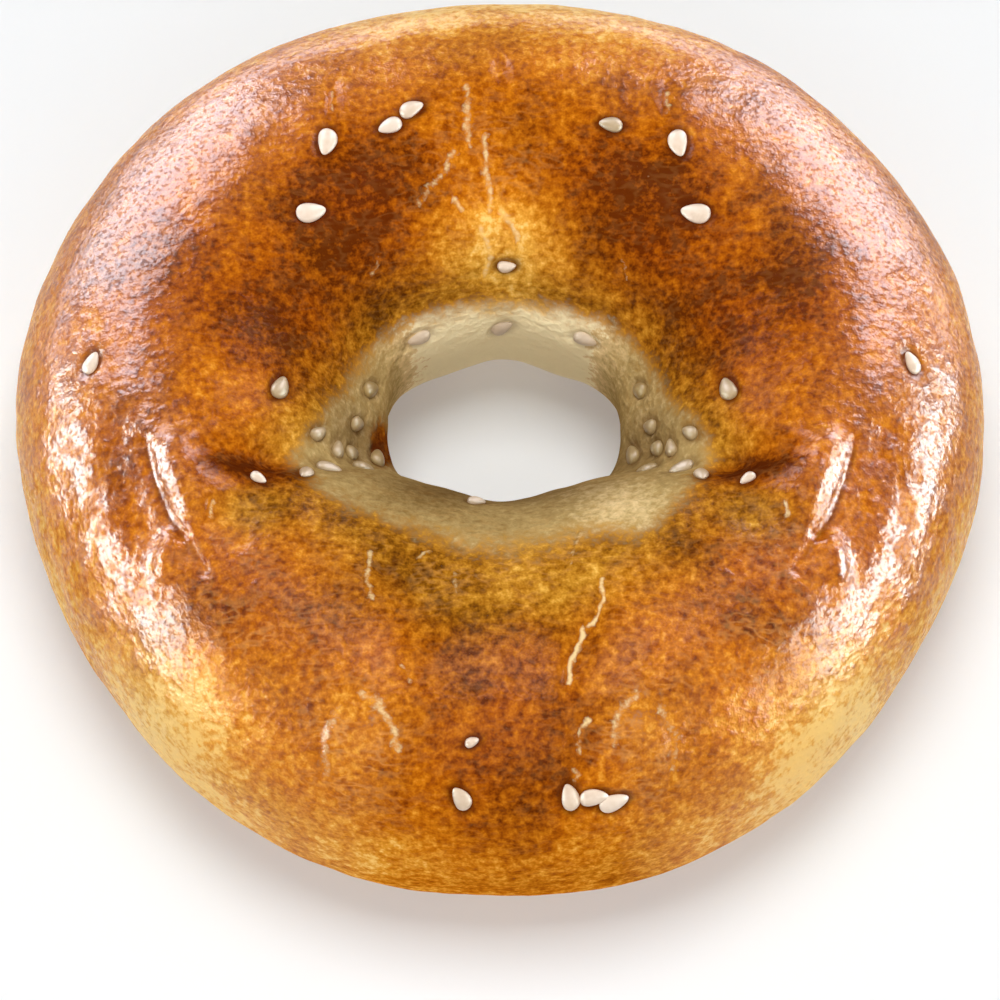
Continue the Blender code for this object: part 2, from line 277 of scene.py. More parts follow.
# The rolls between which the browning of the top and of the foot start and end. Within PLAIN_SPAN there
# are no patches, and within FLOURY_SPAN the underside is floury.
TOP_SPAN = ((2, 55), (200, 225))
FOOT_SPAN = ((215, 250), (300, 335))
PLAIN_SPAN = ((225, 260), (320, 345))
FLOURY_SPAN = ((200, 250), (300, 345))
# Patches that are browner or paler.
PAIRED_BROWN_PATCHES = [
    ((15.0, 20.0), (9.0, 8.0), 0.54),
    # painted sheen: paler on the front blister
    ((15.0, -42.5), (4.2, 5.5), -0.15),
    ((21.5, 6.0), (7.0, 7.0), 0.28),
    ((29.0, 8.0), (6.0, 7.0), 0.12),
    ((27.3, -12.4), (5.5, 1.9), 0.42),
    ((28.0, -26.0), (8.0, 8.0), 0.17),
    ((9.0, 45.0), (13.0, 7.0), -0.35),
    ((37.0, -39.0), (9.0, 7.0), -0.42),
    ((35.0, 10.0), (7.0, 13.0), 0.2),
    ((41.0, -14.0), (2.4, 8.0), 0.15),
    ((20.0, -17.0), (7.0, 4.0), 0.12),
]
BROWN_PATCHES = [
    ((0.5, -41.0), (8.5, 9.0), 0.17),
    ((0.0, -32.0), (19.0, 5.0), 0.17),
    ((0.0, -53.0), (27.0, 7.5), 0.2),
    ((0.0, 33.0), (12.0, 9.0), 0.08),
    ((0.0, 54.0), (22.0, 7.0), -0.42),
    ((0.0, -25.0), (11.0, 4.5), -0.1),
    ((-11.0, -25.0), (4.5, 4.0), 0.24),
    ((0.0, 17.0), (10.0, 4.5), -0.38),
    ((-13.2, -2.7), (1.8, 3.4), 0.3),
]

# Seeds: turn, roll and heading in degrees, length, and from 0 to 1 how little egg wash covers them; the low
# values of the seeds deep in the hole also stand for painted shade.
# A heading of 0 points along the turn, and one of 90 along the roll.
SEED_WIDTH_SHARE = 0.64
SEED_THICKNESS = 1.15
SEED_SUNK = 0.12
SEED_SIDES = 20
SEED_RINGS = 14
SEED_TAPER = 0.3  # how much slimmer it is at its point, and broader at its blunt end
SEED_RIM = 0.25  # how much thinner it is at its rim
SEED_LEAN = 0.12  # how far it bends to a side at most, as a share of its width
SEED_PLUMPNESS = (0.92, 1.05)  # between which shares of the usual thickness it lies
PAIRED_SEEDS = [
    (127, 93, 49, 3.3, 1.0),
    (140, 108, 148, 3.4, 1.0),
    (207, 131.5, 50, 2.9, 0.3),
    (208.8, 119, -50, 2.5, 0.45),
    (208.8, 102, 26, 1.9, 0.9),
    (186, 120, 150, 3.0, 0.2),
    (173, 162, 123, 2.8, 0.0),
    (199, 133, 113, 2.3, 0.15),
    (180, 61, 148, 2.7, 0.8),
    (203, 143, 145, 2.5, 0.15),
    (202, 154, 109, 2.8, 0.05),
    (206, 150, 60, 2.7, 0.1),
    (192, 158, 106, 2.6, 0.1),
    (200, 168, 134, 3.0, 0.05),
]
SINGLE_SEEDS = [
    (138, 166, 0, 2.8, 0.6),
    (44, 168, 180, 2.8, 0.6),
    (114, 96, 4, 2.8, 0.9),
    (108.5, 93, -165, 2.9, 0.9),
    (67, 96, 7, 2.7, 0.25),
    (89, 145, -178, 2.1, 1.0),
    (91, 174, -132, 3.0, 0.6),
    (266, 58, 30, 1.6, 1.0),
    (265, 40, 119, 2.9, 0.85),
    (278.5, 40, 95, 3.0, 0.9),
    (281.5, 39, 2, 3.1, 1.0),
    (283.8, 36.5, 13, 3.3, 0.95),
    (258, 146, 35, 2.2, 0.5),
]
STRAY_SEEDS = 6
STRAY_TURNS = (20, 160)
STRAY_ROLLS = (-25, 5)
STRAY_LENGTHS = (2.7, 3.3)
STRAY_DRAW = 5

# The dimple that each seed makes in the crust.
DIMPLE_WIDTH = 0.45
DIMPLE_DEPTH = 0.25

# The crust's grid: turns, and rolls above and below the waist.
TURNS = 420
UPPER_ROLLS = 96
LOWER_ROLLS = 38
# Faces round seeds, scars and folds that are narrower than FINE_FOLD are cut finer.
FINE_CUTS = 2
FINE_MARGIN = 0.5
FINE_FOLD = 1.15
ANGLE_STEP = math.radians(0.2)

# The view, as fitted to the picture's outlines.
CAMERA_TILT = math.radians(66)
CAMERA_DISTANCE = 469.5
CAMERA_TARGET = (0.0, -7.9, 17.0)
CAMERA_LENS = 150.0
SENSOR = 36.0


def ellipse_radius(turn, width, depth):
    """Distance from an ellipse's middle to its edge."""
    return width * depth / 2 / np.hypot(depth * np.cos(turn), width * np.sin(turn))


def outer_edge(turn):
    """Plan of the outer waist: an ellipse that is broad at the back and has six soft corners."""
    lobes = 1 + BROAD_BACK * np.sin(3 * turn) + ROUND_FRONT * np.sin(5 * turn)
    corners = HEXAGON * (np.cos(6 * turn) - 1)
    radius = ellipse_radius(turn, WIDTH, DEPTH) * (lobes + corners)
    middle_back = (BROAD_BACK - ROUND_FRONT) * DEPTH / 2
    return radius * np.cos(turn), radius * np.sin(turn) + middle_back


def hole_edge(turn):
    """Plan of the hole at its narrowest."""
    radius = ellipse_radius(turn, HOLE_WIDTH, HOLE_DEPTH) * (1 - HOLE_HEXAGON * np.cos(6 * turn))
    return radius * np.cos(turn) + HOLE_RIGHT, radius * np.sin(turn) + HOLE_BACK


def smooth_ring(turn, roll):
    """Points of the ring before its relief, which dip below z = 0 where the foot will be flat."""
    outer_x, outer_y = outer_edge(turn)
    hole_x, hole_y = hole_edge(turn)
    crest_x = outer_x + CREST_SHARE * (hole_x - outer_x)
    crest_y = outer_y + CREST_SHARE * (hole_y - outer_y)
    upper = np.sin(roll) > 0
    inner = np.cos(roll) < 0
    hole_fullness = HOLE_SIDE_FULLNESS + (HOLE_END_FULLNESS - HOLE_SIDE_FULLNESS) * np.sin(turn) ** 2
    fullness = np.where(upper, np.where(inner, hole_fullness, OUTER_FULLNESS), FOOT_FULLNESS)
    reach = (np.abs(np.cos(roll)) ** fullness + np.abs(np.sin(roll)) ** fullness) ** (-1 / fullness)
    across = reach * np.cos(roll)
    rise = reach * np.sin(roll)
    waist_z = OUTER_WAIST_Z + (HOLE_WAIST_Z - OUTER_WAIST_Z) * (1 - across) / 2
    x = crest_x + across * np.where(inner, crest_x - hole_x, outer_x - crest_x)
    y = crest_y + across * np.where(inner, crest_y - hole_y, outer_y - crest_y)
    z = waist_z + rise * np.where(upper, HEIGHT - waist_z, waist_z + FOOT_PRESSED)
    return np.stack([x, y, z], axis=-1)


def outward(turn, roll):
    """Unit normals of the ring before its relief."""
    along_turn = smooth_ring(turn + ANGLE_STEP, roll) - smooth_ring(turn - ANGLE_STEP, roll)
    along_roll = smooth_ring(turn, roll + ANGLE_STEP) - smooth_ring(turn, roll - ANGLE_STEP)
    normals = np.cross(along_turn, along_roll)
    return normals / np.linalg.norm(normals, axis=-1, keepdims=True)


def distance_to_path(plan, path):
    """Distance in plan from each point to a line through the path's points."""
    nearest = np.full(plan.shape[:-1], np.inf)
    for start, end in zip(np.array(path[:-1], float), np.array(path[1:], float)):
        run = end - start
        share = np.clip((plan - start) @ run / (run @ run), 0, 1)
        nearest = np.minimum(nearest, np.linalg.norm(plan - start - share[..., None] * run, axis=-1))
    return nearest


def along_and_inwards(plan, path):
    """Each point's share of the way along a path, and its distance from it, positive towards the middle."""
    nearest = np.full(plan.shape[:-1], np.inf)
    along = np.zeros(plan.shape[:-1])
    inwards = np.zeros(plan.shape[:-1])
    corners = np.array(path, float)
    runs = np.diff(corners, axis=0)
    lengths = np.linalg.norm(runs, axis=1)
    for start, run, length, before in zip(corners, runs, lengths, np.cumsum(lengths) - lengths):
        share = np.clip((plan - start) @ run / length**2, 0, 1)
        away = plan - start - share[..., None] * run
        distance = np.linalg.norm(away, axis=-1)
        side = np.sign(away[..., 0] * run[1] - away[..., 1] * run[0])
        closer = distance < nearest
        nearest = np.where(closer, distance, nearest)
        along = np.where(closer, (before + share * length) / lengths.sum(), along)
        inwards = np.where(closer, distance * side, inwards)
    return along, inwards


def ramp(value, low, high):
    """0 below low, 1 above high, smooth between."""
    share = np.clip((value - low) / (high - low), 0, 1)
    return share * share * (3 - 2 * share)


def bell(distance, half_width):
    """1 at no distance, fading smoothly to 0."""
    return np.exp(-((distance / half_width) ** 2))


def lap(plan, path, width, height, reach):
    """A rise that starts at a path, is highest at its width, ends at its reach, and fades at both ends."""
    along, inwards = along_and_inwards(plan, path)
    fade = ramp(along, 0, LAP_FADE) * (1 - ramp(along, 1 - LAP_FADE, 1))
    return height * fade * ramp(inwards, 0, width) * (1 - ramp(inwards, width, reach))


def waves(points, length, height, start):
    """Smooth unevenness that has no direction."""
    flat = points.reshape(-1, 3) / length + start
    return height * np.array([noise.noise(Vector(p)) for p in flat]).reshape(points.shape[:-1])


def fold_left_on_right(points):
    """Plan positions with the left half laid over the right."""
    return np.stack([np.abs(points[..., 0]), points[..., 1]], axis=-1)


def torn(points):
    """Plan positions that wobble, so that a straight line across them looks torn."""
    wobbles = [waves(points, SCAR_WOBBLE_LENGTH, SCAR_WOBBLE, start) for start in SCAR_WOBBLE_STARTS]
    return points[..., :2] + np.stack(wobbles, axis=-1)


def all_scars_and_highlights():
    """The scars and painted highlight strokes of both sides."""
    mirrored = [([(-x, y) for x, y in path], half_width, level) for path, half_width, level in PAIRED_SCARS_AND_HIGHLIGHTS]
    return SINGLE_SCARS_AND_HIGHLIGHTS + PAIRED_SCARS_AND_HIGHLIGHTS + mirrored


def relief(points):
    """How far each point of the crust stands out, or in, along its normal."""
    plan = points[..., :2]
    folded = fold_left_on_right(points)
    marks = np.zeros(points.shape[:-1])
    for path, half_width, height in PAIRED_FOLDS:
        marks += height * bell(distance_to_path(folded, path), half_width)
    for path, width, height, reach in PAIRED_LAPS:
        marks += lap(folded, path, width, height, reach)
    for path, half_width, height in SINGLE_FOLDS:
        marks += height * bell(distance_to_path(plan, path), half_width)
    for centre, radius, height in PAIRED_DOMES:
        marks += height * bell(np.linalg.norm(folded - centre, axis=-1), radius)
    ragged = torn(points)
    for path, half_width, level in all_scars_and_highlights():
        depth = SCAR_DEPTH * level
        marks -= depth * bell(distance_to_path(ragged + (SCAR_SIDE, 0), path), half_width)
        marks += depth / 2 * bell(distance_to_path(ragged, path), half_width)
    centre, ring_radius, half_width, height = PIT
    marks += height * bell(np.linalg.norm(plan - centre, axis=-1) - ring_radius, half_width)
    fade = np.clip((points[..., 2] - HOLE_WAIST_Z) / (HEIGHT - HOLE_WAIST_Z) / RELIEF_FADE, 0, 1)
    return marks * fade + sum(waves(points, *wave) for wave in WAVES)


def patches(points, single=(), paired=()):
    """The sum of soft patches at each point."""
    total = np.zeros(points.shape[:-1])
    for plan, group in [(points[..., :2], single), (fold_left_on_right(points), paired)]:
        for centre, radii, change in group:
            total += change * bell(np.linalg.norm((plan - centre) / radii, axis=-1), 1)
    return total


def lines(points, plan, paths, spread=1.0):
    """The strongest of some lines at each point of the upper side, where spread makes them wider."""
    marks = np.zeros(points.shape[:-1])
    for path, half_width, level in paths:
        marks = np.maximum(marks, level * bell(distance_to_path(plan, path), half_width * spread))
    return marks * (points[..., 2] > HOLE_WAIST_Z)


def between(degrees, start, end):
    """1 from the end of the first span to the start of the second, 0 outside both, smooth within them."""
    return ramp(degrees, *start) * (1 - ramp(degrees, *end))


def from_front(turn):
    """How far round from the front a turn lies, from 0 to 180 degrees."""
    return np.degrees(np.abs((turn + math.pi / 2 + math.pi) % (2 * math.pi) - math.pi))


def pale_edge(turn):
    """The roll, in degrees, at which the pale dough ends."""
    return np.interp(from_front(turn), *zip(*PALE_EDGE))


def paleness(points, turn, degrees):
    """1 on the pale dough round the hole, 0 on the browned crust, with a painted sheen on the front blisters.
    """
    edge = pale_edge(turn)
    pale = ramp(degrees, edge - PALE_BLUR, edge + PALE_BLUR) + patches(points, PALE_AND_SHEEN_PATCHES)
    return np.clip(pale, 0, 1) * (1 - ramp(degrees, *PALE_UNDER))


def halo(points, turn, degrees):
    """1 where the crust is yellow-brown rather than orange: round the pale dough, and in patches."""
    edge = pale_edge(turn)
    border = ramp(degrees, edge - HALO_REACH, edge) * (degrees < PALE_UNDER[1])
    changes = patches(points, HALO_PATCHES, PAIRED_HALO_PATCHES)
    return np.clip(border + changes * (1 - between(degrees, *PLAIN_SPAN)), 0, 1)


def dough_tone_and_light(points, turn):
    """How much lighter or darker the pale dough is: painted light on the hole's far wall, painted shade on
    its near wall, and patches, those on the front blisters a painted sheen.
    """
    front = from_front(turn)
    walls = FAR_DOUGH_LIGHT * ramp(front, *FAR_WALL) + NEAR_DOUGH_SHADE * (1 - ramp(front, *NEAR_WALL))
    return walls + patches(points, DOUGH_TONE_AND_SHEEN_PATCHES)


def painted_recess_shade(points, degrees):
    """1 where shade is painted: in the hole's ends and on its near wall, 0 elsewhere."""
    return np.clip(patches(points, paired=PAIRED_PAINTED_SHADES), 0, 1) * ramp(degrees, *PAINTED_SHADE_START)


def glaze(points, degrees):
    """1 where the egg wash is thick and shiny, 0 where the dough is bare."""
    outer = np.where(degrees > 180, ramp(degrees, *GLAZE_START), 1 - ramp(degrees, *GLAZE_CREST))
    shine = outer * GLAZE_OUTER + (1 - outer) * GLAZE_INNER * (1 - ramp(degrees, *GLAZE_END))
    return np.clip(shine + patches(points, paired=PAIRED_GLAZE_PATCHES), 0, 1)


def browning(points, degrees):
    """How brown the crust is at each point, from 0 to 1."""
    top = (BROWN_TOP - BROWN_WAIST) * between(degrees, *TOP_SPAN)
    foot = (BROWN_FOOT - BROWN_WAIST) * between(degrees, *FOOT_SPAN)
    changes = patches(points, BROWN_PATCHES, PAIRED_BROWN_PATCHES)
    return np.clip(BROWN_WAIST + top + foot + changes * (1 - between(degrees, *PLAIN_SPAN)), 0, 1)


def veins(points):
    """How clearly fine veins, partly painted highlights on the wrinkles, show on the upper side."""
    level = FAINT_VEINS + patches(points, VEIN_PATCHES, PAIRED_VEIN_PATCHES)
    return np.clip(level, 0, 1) * (points[..., 2] > HOLE_WAIST_Z)


def crease_shades(points):
    """1 on the painted shade along the crust's creases."""
    paired = lines(points, fold_left_on_right(points), PAIRED_CREASE_SHADES)
    return np.maximum(paired, lines(points, points[..., :2], SINGLE_CREASE_SHADES))


def add_values(mesh, name, values):
    """Stores a number for each corner of the mesh under a name."""
    layer = mesh.attributes.new(name, "FLOAT", "POINT")
    layer.data.foreach_set("value", np.ascontiguousarray(values, np.float32).ravel())


def values_of(mesh, name):
    """The numbers that the mesh stores under a name."""
    values = np.empty(len(mesh.vertices), np.float32)
    mesh.attributes[name].data.foreach_get("value", values)
    return values.astype(float)


def place_points(mesh, points):
    """Moves the mesh's corners to points that are in millimetres."""
    mesh.vertices.foreach_set("co", (points * MM).astype(np.float32).ravel())
    mesh.update()


def ring_mesh():
    """The bare ring as a closed grid whose corners know their turn and roll."""
    rolls = np.concatenate(
        [
            np.linspace(0, math.pi, UPPER_ROLLS, endpoint=False),
            np.linspace(math.pi, 2 * math.pi, LOWER_ROLLS, endpoint=False),
        ]
    )
    turns = np.linspace(0, 2 * math.pi, TURNS, endpoint=False)
    turn, roll = np.meshgrid(turns, rolls, indexing="ij")
    corner = np.arange(turn.size).reshape(turn.shape)
    ahead = np.roll(corner, -1, axis=0)
    up = np.roll(corner, -1, axis=1)
    ahead_up = np.roll(ahead, -1, axis=1)
    faces = np.stack([corner, ahead, ahead_up, up], axis=-1).reshape(-1, 4)
    mesh = bpy.data.meshes.new("crust")
    mesh.from_pydata((smooth_ring(turn, roll) * MM).reshape(-1, 3).tolist(), [], faces.tolist())
    for name, values in [
        ("turn_cos", np.cos(turn)),
        ("turn_sin", np.sin(turn)),
        ("roll_cos", np.cos(roll)),
        ("roll_sin", np.sin(roll)),
    ]:
        add_values(mesh, name, values)
    return mesh


def take_angles(mesh):
    """Every corner's turn and roll, whose stores are then removed."""
    turn = np.arctan2(values_of(mesh, "turn_sin"), values_of(mesh, "turn_cos"))
    roll = np.arctan2(values_of(mesh, "roll_sin"), values_of(mesh, "roll_cos"))
    for name in ["turn_cos", "turn_sin", "roll_cos", "roll_sin"]:
        mesh.attributes.remove(mesh.attributes[name])
    return turn % (2 * math.pi), roll % (2 * math.pi)


def refine(mesh, places):
    """Finer faces round the seeds and along the cracks."""
    form = bmesh.new()
    form.from_mesh(mesh)
    middles = np.array([face.calc_center_median() for face in form.faces]) / MM
    near = np.zeros(len(middles), bool)
    for turn, roll, _, length, _ in places:
        spot = smooth_ring(math.radians(turn), math.radians(roll))
        near |= np.linalg.norm(middles - spot, axis=1) < length / 2 + FINE_MARGIN
    on_top = middles[:, 2] > HOLE_WAIST_Z
    for path, half_width, _ in all_scars_and_highlights():
        near |= (distance_to_path(middles[:, :2], path) < half_width + FINE_MARGIN) & on_top
    folded = fold_left_on_right(middles)
    for path, half_width, _ in PAIRED_FOLDS:
        if half_width < FINE_FOLD:
            near |= (distance_to_path(folded, path) < half_width + FINE_MARGIN) & on_top
    edges = {edge for face, is_near in zip(form.faces, near) if is_near for edge in face.edges}
    bmesh.ops.subdivide_edges(form, edges=list(edges), cuts=FINE_CUTS, use_grid_fill=True)
    form.to_mesh(mesh)
    form.free()


def seat(surface, turn, roll, heading):
    """Where a seed lies: its X along its heading, and its Z out of the crust."""
    turn, roll, heading = math.radians(turn), math.radians(roll), math.radians(heading)
    place = Vector(smooth_ring(turn, roll))
    along_turn = (Vector(smooth_ring(turn + ANGLE_STEP, roll)) - place).normalized()
    along_roll = (Vector(smooth_ring(turn, roll + ANGLE_STEP)) - place).normalized()
    spot, normal, _, _ = surface.find_nearest(place * MM)
    along = along_turn * math.cos(heading) + along_roll * math.sin(heading)
    along = (along - along.dot(normal) * normal).normalized()
    turned = Matrix((along, normal.cross(along), normal)).transposed().to_4x4()
    return Matrix.Translation(spot - normal * SEED_SUNK * MM) @ turned


def seed_places():
    """Every seed's turn, roll, heading, length, and how bare and lit it is."""
    places = list(SINGLE_SEEDS)
    for turn, roll, heading, length, bareness_and_light in PAIRED_SEEDS:
        places.append((turn, roll, heading, length, bareness_and_light))
        places.append((180 - turn, roll, 180 - heading, length, bareness_and_light))
    draw = random.Random(STRAY_DRAW)
    for _ in range(STRAY_SEEDS):
        turn = draw.uniform(*STRAY_TURNS)
        roll = draw.uniform(*STRAY_ROLLS)
        heading = draw.uniform(0, 360)
        places.append((turn, roll, heading, draw.uniform(*STRAY_LENGTHS), 1.0))
    return places


def seats_on(mesh, places):
    """The seeds' seats on the crust."""
    form = bmesh.new()
    form.from_mesh(mesh)
    surface = BVHTree.FromBMesh(form)
    form.free()
    return [seat(surface, turn, roll, heading) for turn, roll, heading, _, _ in places]


def gaps_to_seed(points, matrix, length):
    """Distance of each point from the seed's outline, below zero inside it."""
    local = (points - np.array(matrix.translation) / MM) @ np.array(matrix.to_3x3())
    half_width = length * SEED_WIDTH_SHARE / 2
    share = np.hypot(local[:, 0] / (length / 2), local[:, 1] / half_width)
    near = np.abs(local[:, 2]) < length
    return np.where(near, (share - 1) * half_width, np.inf)


def crust_mesh(places):
    """The crust as a mesh that carries its colours' guides, and the seeds' seats on it."""
    mesh = ring_mesh()
    refine(mesh, places)
    turn, roll = take_angles(mesh)
    normals = outward(turn, roll)
    points = smooth_ring(turn, roll)
    points = points + normals * relief(points)[:, None]
    place_points(mesh, points)
    seats = seats_on(mesh, places)
    dimple = np.zeros(len(points))
    for matrix, (_, _, _, length, _) in zip(seats, places):
        dimple = np.maximum(dimple, bell(gaps_to_seed(points, matrix, length), DIMPLE_WIDTH))
    points = points - normals * (dimple * DIMPLE_DEPTH)[:, None]
    points[:, 2] = np.maximum(points[:, 2], 0)
    place_points(mesh, points)
    degrees = np.degrees(roll)
    ragged = torn(points)
    for name, values in [
        ("pale", paleness(points, turn, degrees)),
        ("halo", halo(points, turn, degrees)),
        # the dough's tone, with painted light and shade on the hole's walls
        ("dough_tone_and_light", dough_tone_and_light(points, turn)),
        ("brown", browning(points, degrees)),
        ("painted_recess_shade", painted_recess_shade(points, degrees)),
        ("glaze", glaze(points, degrees) * (1 - lines(points, ragged, all_scars_and_highlights(), MATT_SPREAD))),
        ("blotched", patches(points, paired=PAIRED_BLOTCHES)),
        ("scar_and_highlight", lines(points, ragged, all_scars_and_highlights())),
        ("veined_and_highlit", veins(points)),
        # painted shade in the seeds' dimples and along the creases
        ("ring", np.maximum(dimple, crease_shades(points))),
        ("underside", between(degrees, *FLOURY_SPAN)),
    ]:
        add_values(mesh, name, values)
    return mesh, seats


def seed_form(length, matrix, draw):
    """Corners and faces of one sesame seed: a flat drop with its point at its own +X."""
    form = bmesh.new()
    bmesh.ops.create_uvsphere(form, u_segments=SEED_SIDES, v_segments=SEED_RINGS, radius=0.5)
    bmesh.ops.rotate(form, verts=form.verts, matrix=Matrix.Rotation(math.pi / 2, 3, "Y"))
    thickness = SEED_THICKNESS * draw.uniform(*SEED_PLUMPNESS)
    lean = draw.uniform(-SEED_LEAN, SEED_LEAN)
    for vertex in form.verts:
        share = vertex.co.x * 2
        slim = 1 - SEED_TAPER * share
        rim = 1 - SEED_RIM * (vertex.co.y * 2) ** 2
        vertex.co.y = (vertex.co.y * slim + lean * (1 - share**2)) * length * SEED_WIDTH_SHARE
        vertex.co.z *= thickness * slim * rim
        vertex.co.x *= length
    bmesh.ops.scale(form, vec=(MM, MM, MM), verts=form.verts)
    bmesh.ops.transform(form, matrix=matrix, verts=form.verts)
    form.verts.index_update()
    corners = [tuple(v.co) for v in form.verts]
    faces = [[v.index for v in f.verts] for f in form.faces]
    form.free()
    return corners, faces


def seeds_mesh(places, seats):
    """All the seeds as one mesh, each with its own tone."""
    draw = random.Random(STRAY_DRAW)
    corners, faces, tones, bareness_and_light = [], [], [], []
    for matrix, (_, _, _, length, bare) in zip(seats, places):
        own_corners, own_faces = seed_form(length, matrix, draw)
        first = len(corners)
        corners += own_corners
        faces += [[first + index for index in face] for face in own_faces]
        tones += [draw.random()] * len(own_corners)
        bareness_and_light += [bare] * len(own_corners)
    mesh = bpy.data.meshes.new("sesame_seeds")
    mesh.from_pydata(corners, [], faces)
    add_values(mesh, "tone", tones)
    add_values(mesh, "bare", bareness_and_light)
    return mesh


class Nodes:
    """Builds one material's nodes in reading order."""

    def __init__(self, name):
        self.material = bpy.data.materials.new(name)
        self.material.use_nodes = True
        self.tree = self.material.node_tree
        self.shader = self.tree.nodes["Principled BSDF"]

    def add(self, kind, inputs=None, **settings):
        """A new node with its inputs and settings."""
        node = self.tree.nodes.new("ShaderNode" + kind)
        for name, value in settings.items():
            setattr(node, name, value)
        for socket, value in (inputs or {}).items():
            self.feed(node.inputs[socket], value)
        return node

    def feed(self, socket, value):
        """Links another node's output to the socket, or sets the socket to a value."""
        if isinstance(value, bpy.types.NodeSocket):
            self.tree.links.new(value, socket)
        else:
            socket.default_value = value

    def values(self, name):
        """The numbers that the mesh stores under a name."""
        return self.add("Attribute", attribute_name=name).outputs["Fac"]

    def math(self, operation, *values, clamp=False):
        """The result of one operation on the values."""
        return self.add("Math", dict(enumerate(values)), operation=operation, use_clamp=clamp).outputs[0]

    def vary(self, value, noise, by, middle=0.5, clamp=False):
        """The value, raised where the noise is above its middle and lowered where it is below."""
        return self.math("MULTIPLY_ADD", self.math("SUBTRACT", noise, middle), by, value, clamp=clamp)

    def noise(self, place, length, detail, roughness=0.5):
        """Noise from 0 to 1 whose waves have that length in millimetres."""
        inputs = {"Vector": place, "Scale": 1 / (length * MM), "Detail": detail, "Roughness": roughness}
        return self.add("TexNoise", inputs).outputs["Fac"]

    def spread(self, value, low, high, to_low=0.0, to_high=1.0):
        """What goes smoothly from to_low to to_high as the value goes from low to high."""
        inputs = {"Value": value, "From Min": low, "From Max": high, "To Min": to_low, "To Max": to_high}
        return self.add("MapRange", inputs, interpolation_type="SMOOTHSTEP").outputs["Result"]

    def mix(self, share, first, second):
        """The first colour where the share is 0, and the second where it is 1."""
        node = self.add("Mix", data_type="RGBA")
        self.feed(node.inputs[0], share)
        self.feed(node.inputs[6], first)
        self.feed(node.inputs[7], second)
        return node.outputs[2]

    def colours(self, value, stops):
        """A colour that runs through the stops as value goes from 0 to 1."""
        node = self.add("ValToRGB", {"Fac": value})
        points = node.color_ramp.elements
        for _ in range(len(stops) - 2):
            points.new(0.5)
        for point, (position, colour) in zip(points, stops):
            point.position = position
            point.color = srgb(*colour)
        return node.outputs["Color"]

    def bump(self, height, reach):
        """Normals of a relief that is reach millimetres high."""
        return self.add("Bump", {"Height": height, "Strength": 1.0, "Distance": reach * MM}).outputs["Normal"]

    def shade(self, inputs):
        """Gives the shader its values."""
        for name, value in inputs.items():
            self.feed(self.shader.inputs[name], value)


def srgb(red, green, blue):
    """A colour as a picture states it, from 0 to 255, as Blender's linear one."""
    shares = [value / 255 for value in (red, green, blue)]
    linear = [share / 12.92 if share <= 0.04045 else ((share + 0.055) / 1.055) ** 2.4 for share in shares]
    return (*linear, 1.0)


# Crust colours from the least to the most browned.
CRUST_STOPS = [
    (0.0, (248, 200, 112)),
    (0.22, (227, 155, 50)),
    (0.45, (198, 114, 18)),
    (0.65, (167, 86, 10)),
    (0.82, (138, 64, 8)),
    (1.0, (98, 40, 6)),
]
# Pale dough colours from its darkest tone to its lightest.
PALE_STOPS = [
    (0.0, (138, 110, 62)),
    (0.5, (184, 157, 102)),
    (0.9, (236, 208, 154)),
    (1.0, (255, 240, 196)),
]
# Colours of the yellow-brown border from the least to the most browned.
HALO_STOPS = [
    (0.0, (250, 212, 132)),
    (0.22, (226, 172, 74)),
    (0.45, (192, 134, 40)),
    (0.65, (158, 101, 22)),
    (0.82, (121, 72, 13)),
    (1.0, (80, 42, 8)),
]
# Pale dough on the scars' edges, partly painted highlight.
SCAR_AND_HIGHLIGHT_COLOUR = (246, 216, 158)
# Pale veins, partly painted highlights on the wrinkles.
VEIN_AND_HIGHLIGHT_COLOUR = (240, 178, 98)
# Painted shade round the seeds in their dimples and along the creases.
RING_SHADE_COLOUR = (80, 30, 8)
# The colour of the painted shade in the hole's ends and on its near wall.
PAINTED_SHADE_COLOUR = (74, 44, 18)
FOOT_COLOUR = (205, 150, 84)
SEED_STOPS = [
    (0.0, (206, 180, 152)),
    (0.45, (224, 203, 182)),
    (1.0, (238, 222, 206)),
]
# Seeds under egg wash, and painted shade on the seeds deep in the hole.
GLAZED_AND_SHADED_SEED_COLOUR = (156, 130, 80)
COAT_WEIGHT = 0.7
# The wrinkles' lines: how many degrees they slant, and how narrow they are as a share of their length.
STREAK_TURN = 40
STREAK_STRETCH = 0.45


def streaked_place(nodes, place):
    """Coordinates that are stretched along slanting lines, which lean inwards on both sides."""
    parts = nodes.add("SeparateXYZ", {"Vector": place})
    folded = nodes.add("CombineXYZ", {
        "X": nodes.math("ABSOLUTE", parts.outputs["X"]),
        "Y": parts.outputs["Y"],
        "Z": parts.outputs["Z"],
    })
    turned = nodes.add("Mapping", {
        "Vector": folded.outputs["Vector"],
        "Rotation": (0, 0, math.radians(STREAK_TURN)),
        "Scale": (STREAK_STRETCH, 1, 1),
    })
    return turned.outputs["Vector"]


def crust_noises(nodes):
    """The crust's unevenness, from broad patches to specks."""
    place = nodes.add("TexCoord").outputs["Object"]
    return {
        "patches": nodes.noise(place, 9, detail=1),
        "mottle": nodes.noise(place, 3.0, detail=2, roughness=0.6),
        "grain": nodes.noise(place, 0.95, detail=2, roughness=0.7),
        "wrinkle": nodes.noise(streaked_place(nodes, place), 1.0, detail=1, roughness=0.6),
        "specks": nodes.noise(place, 0.5, detail=1, roughness=0.6),
    }


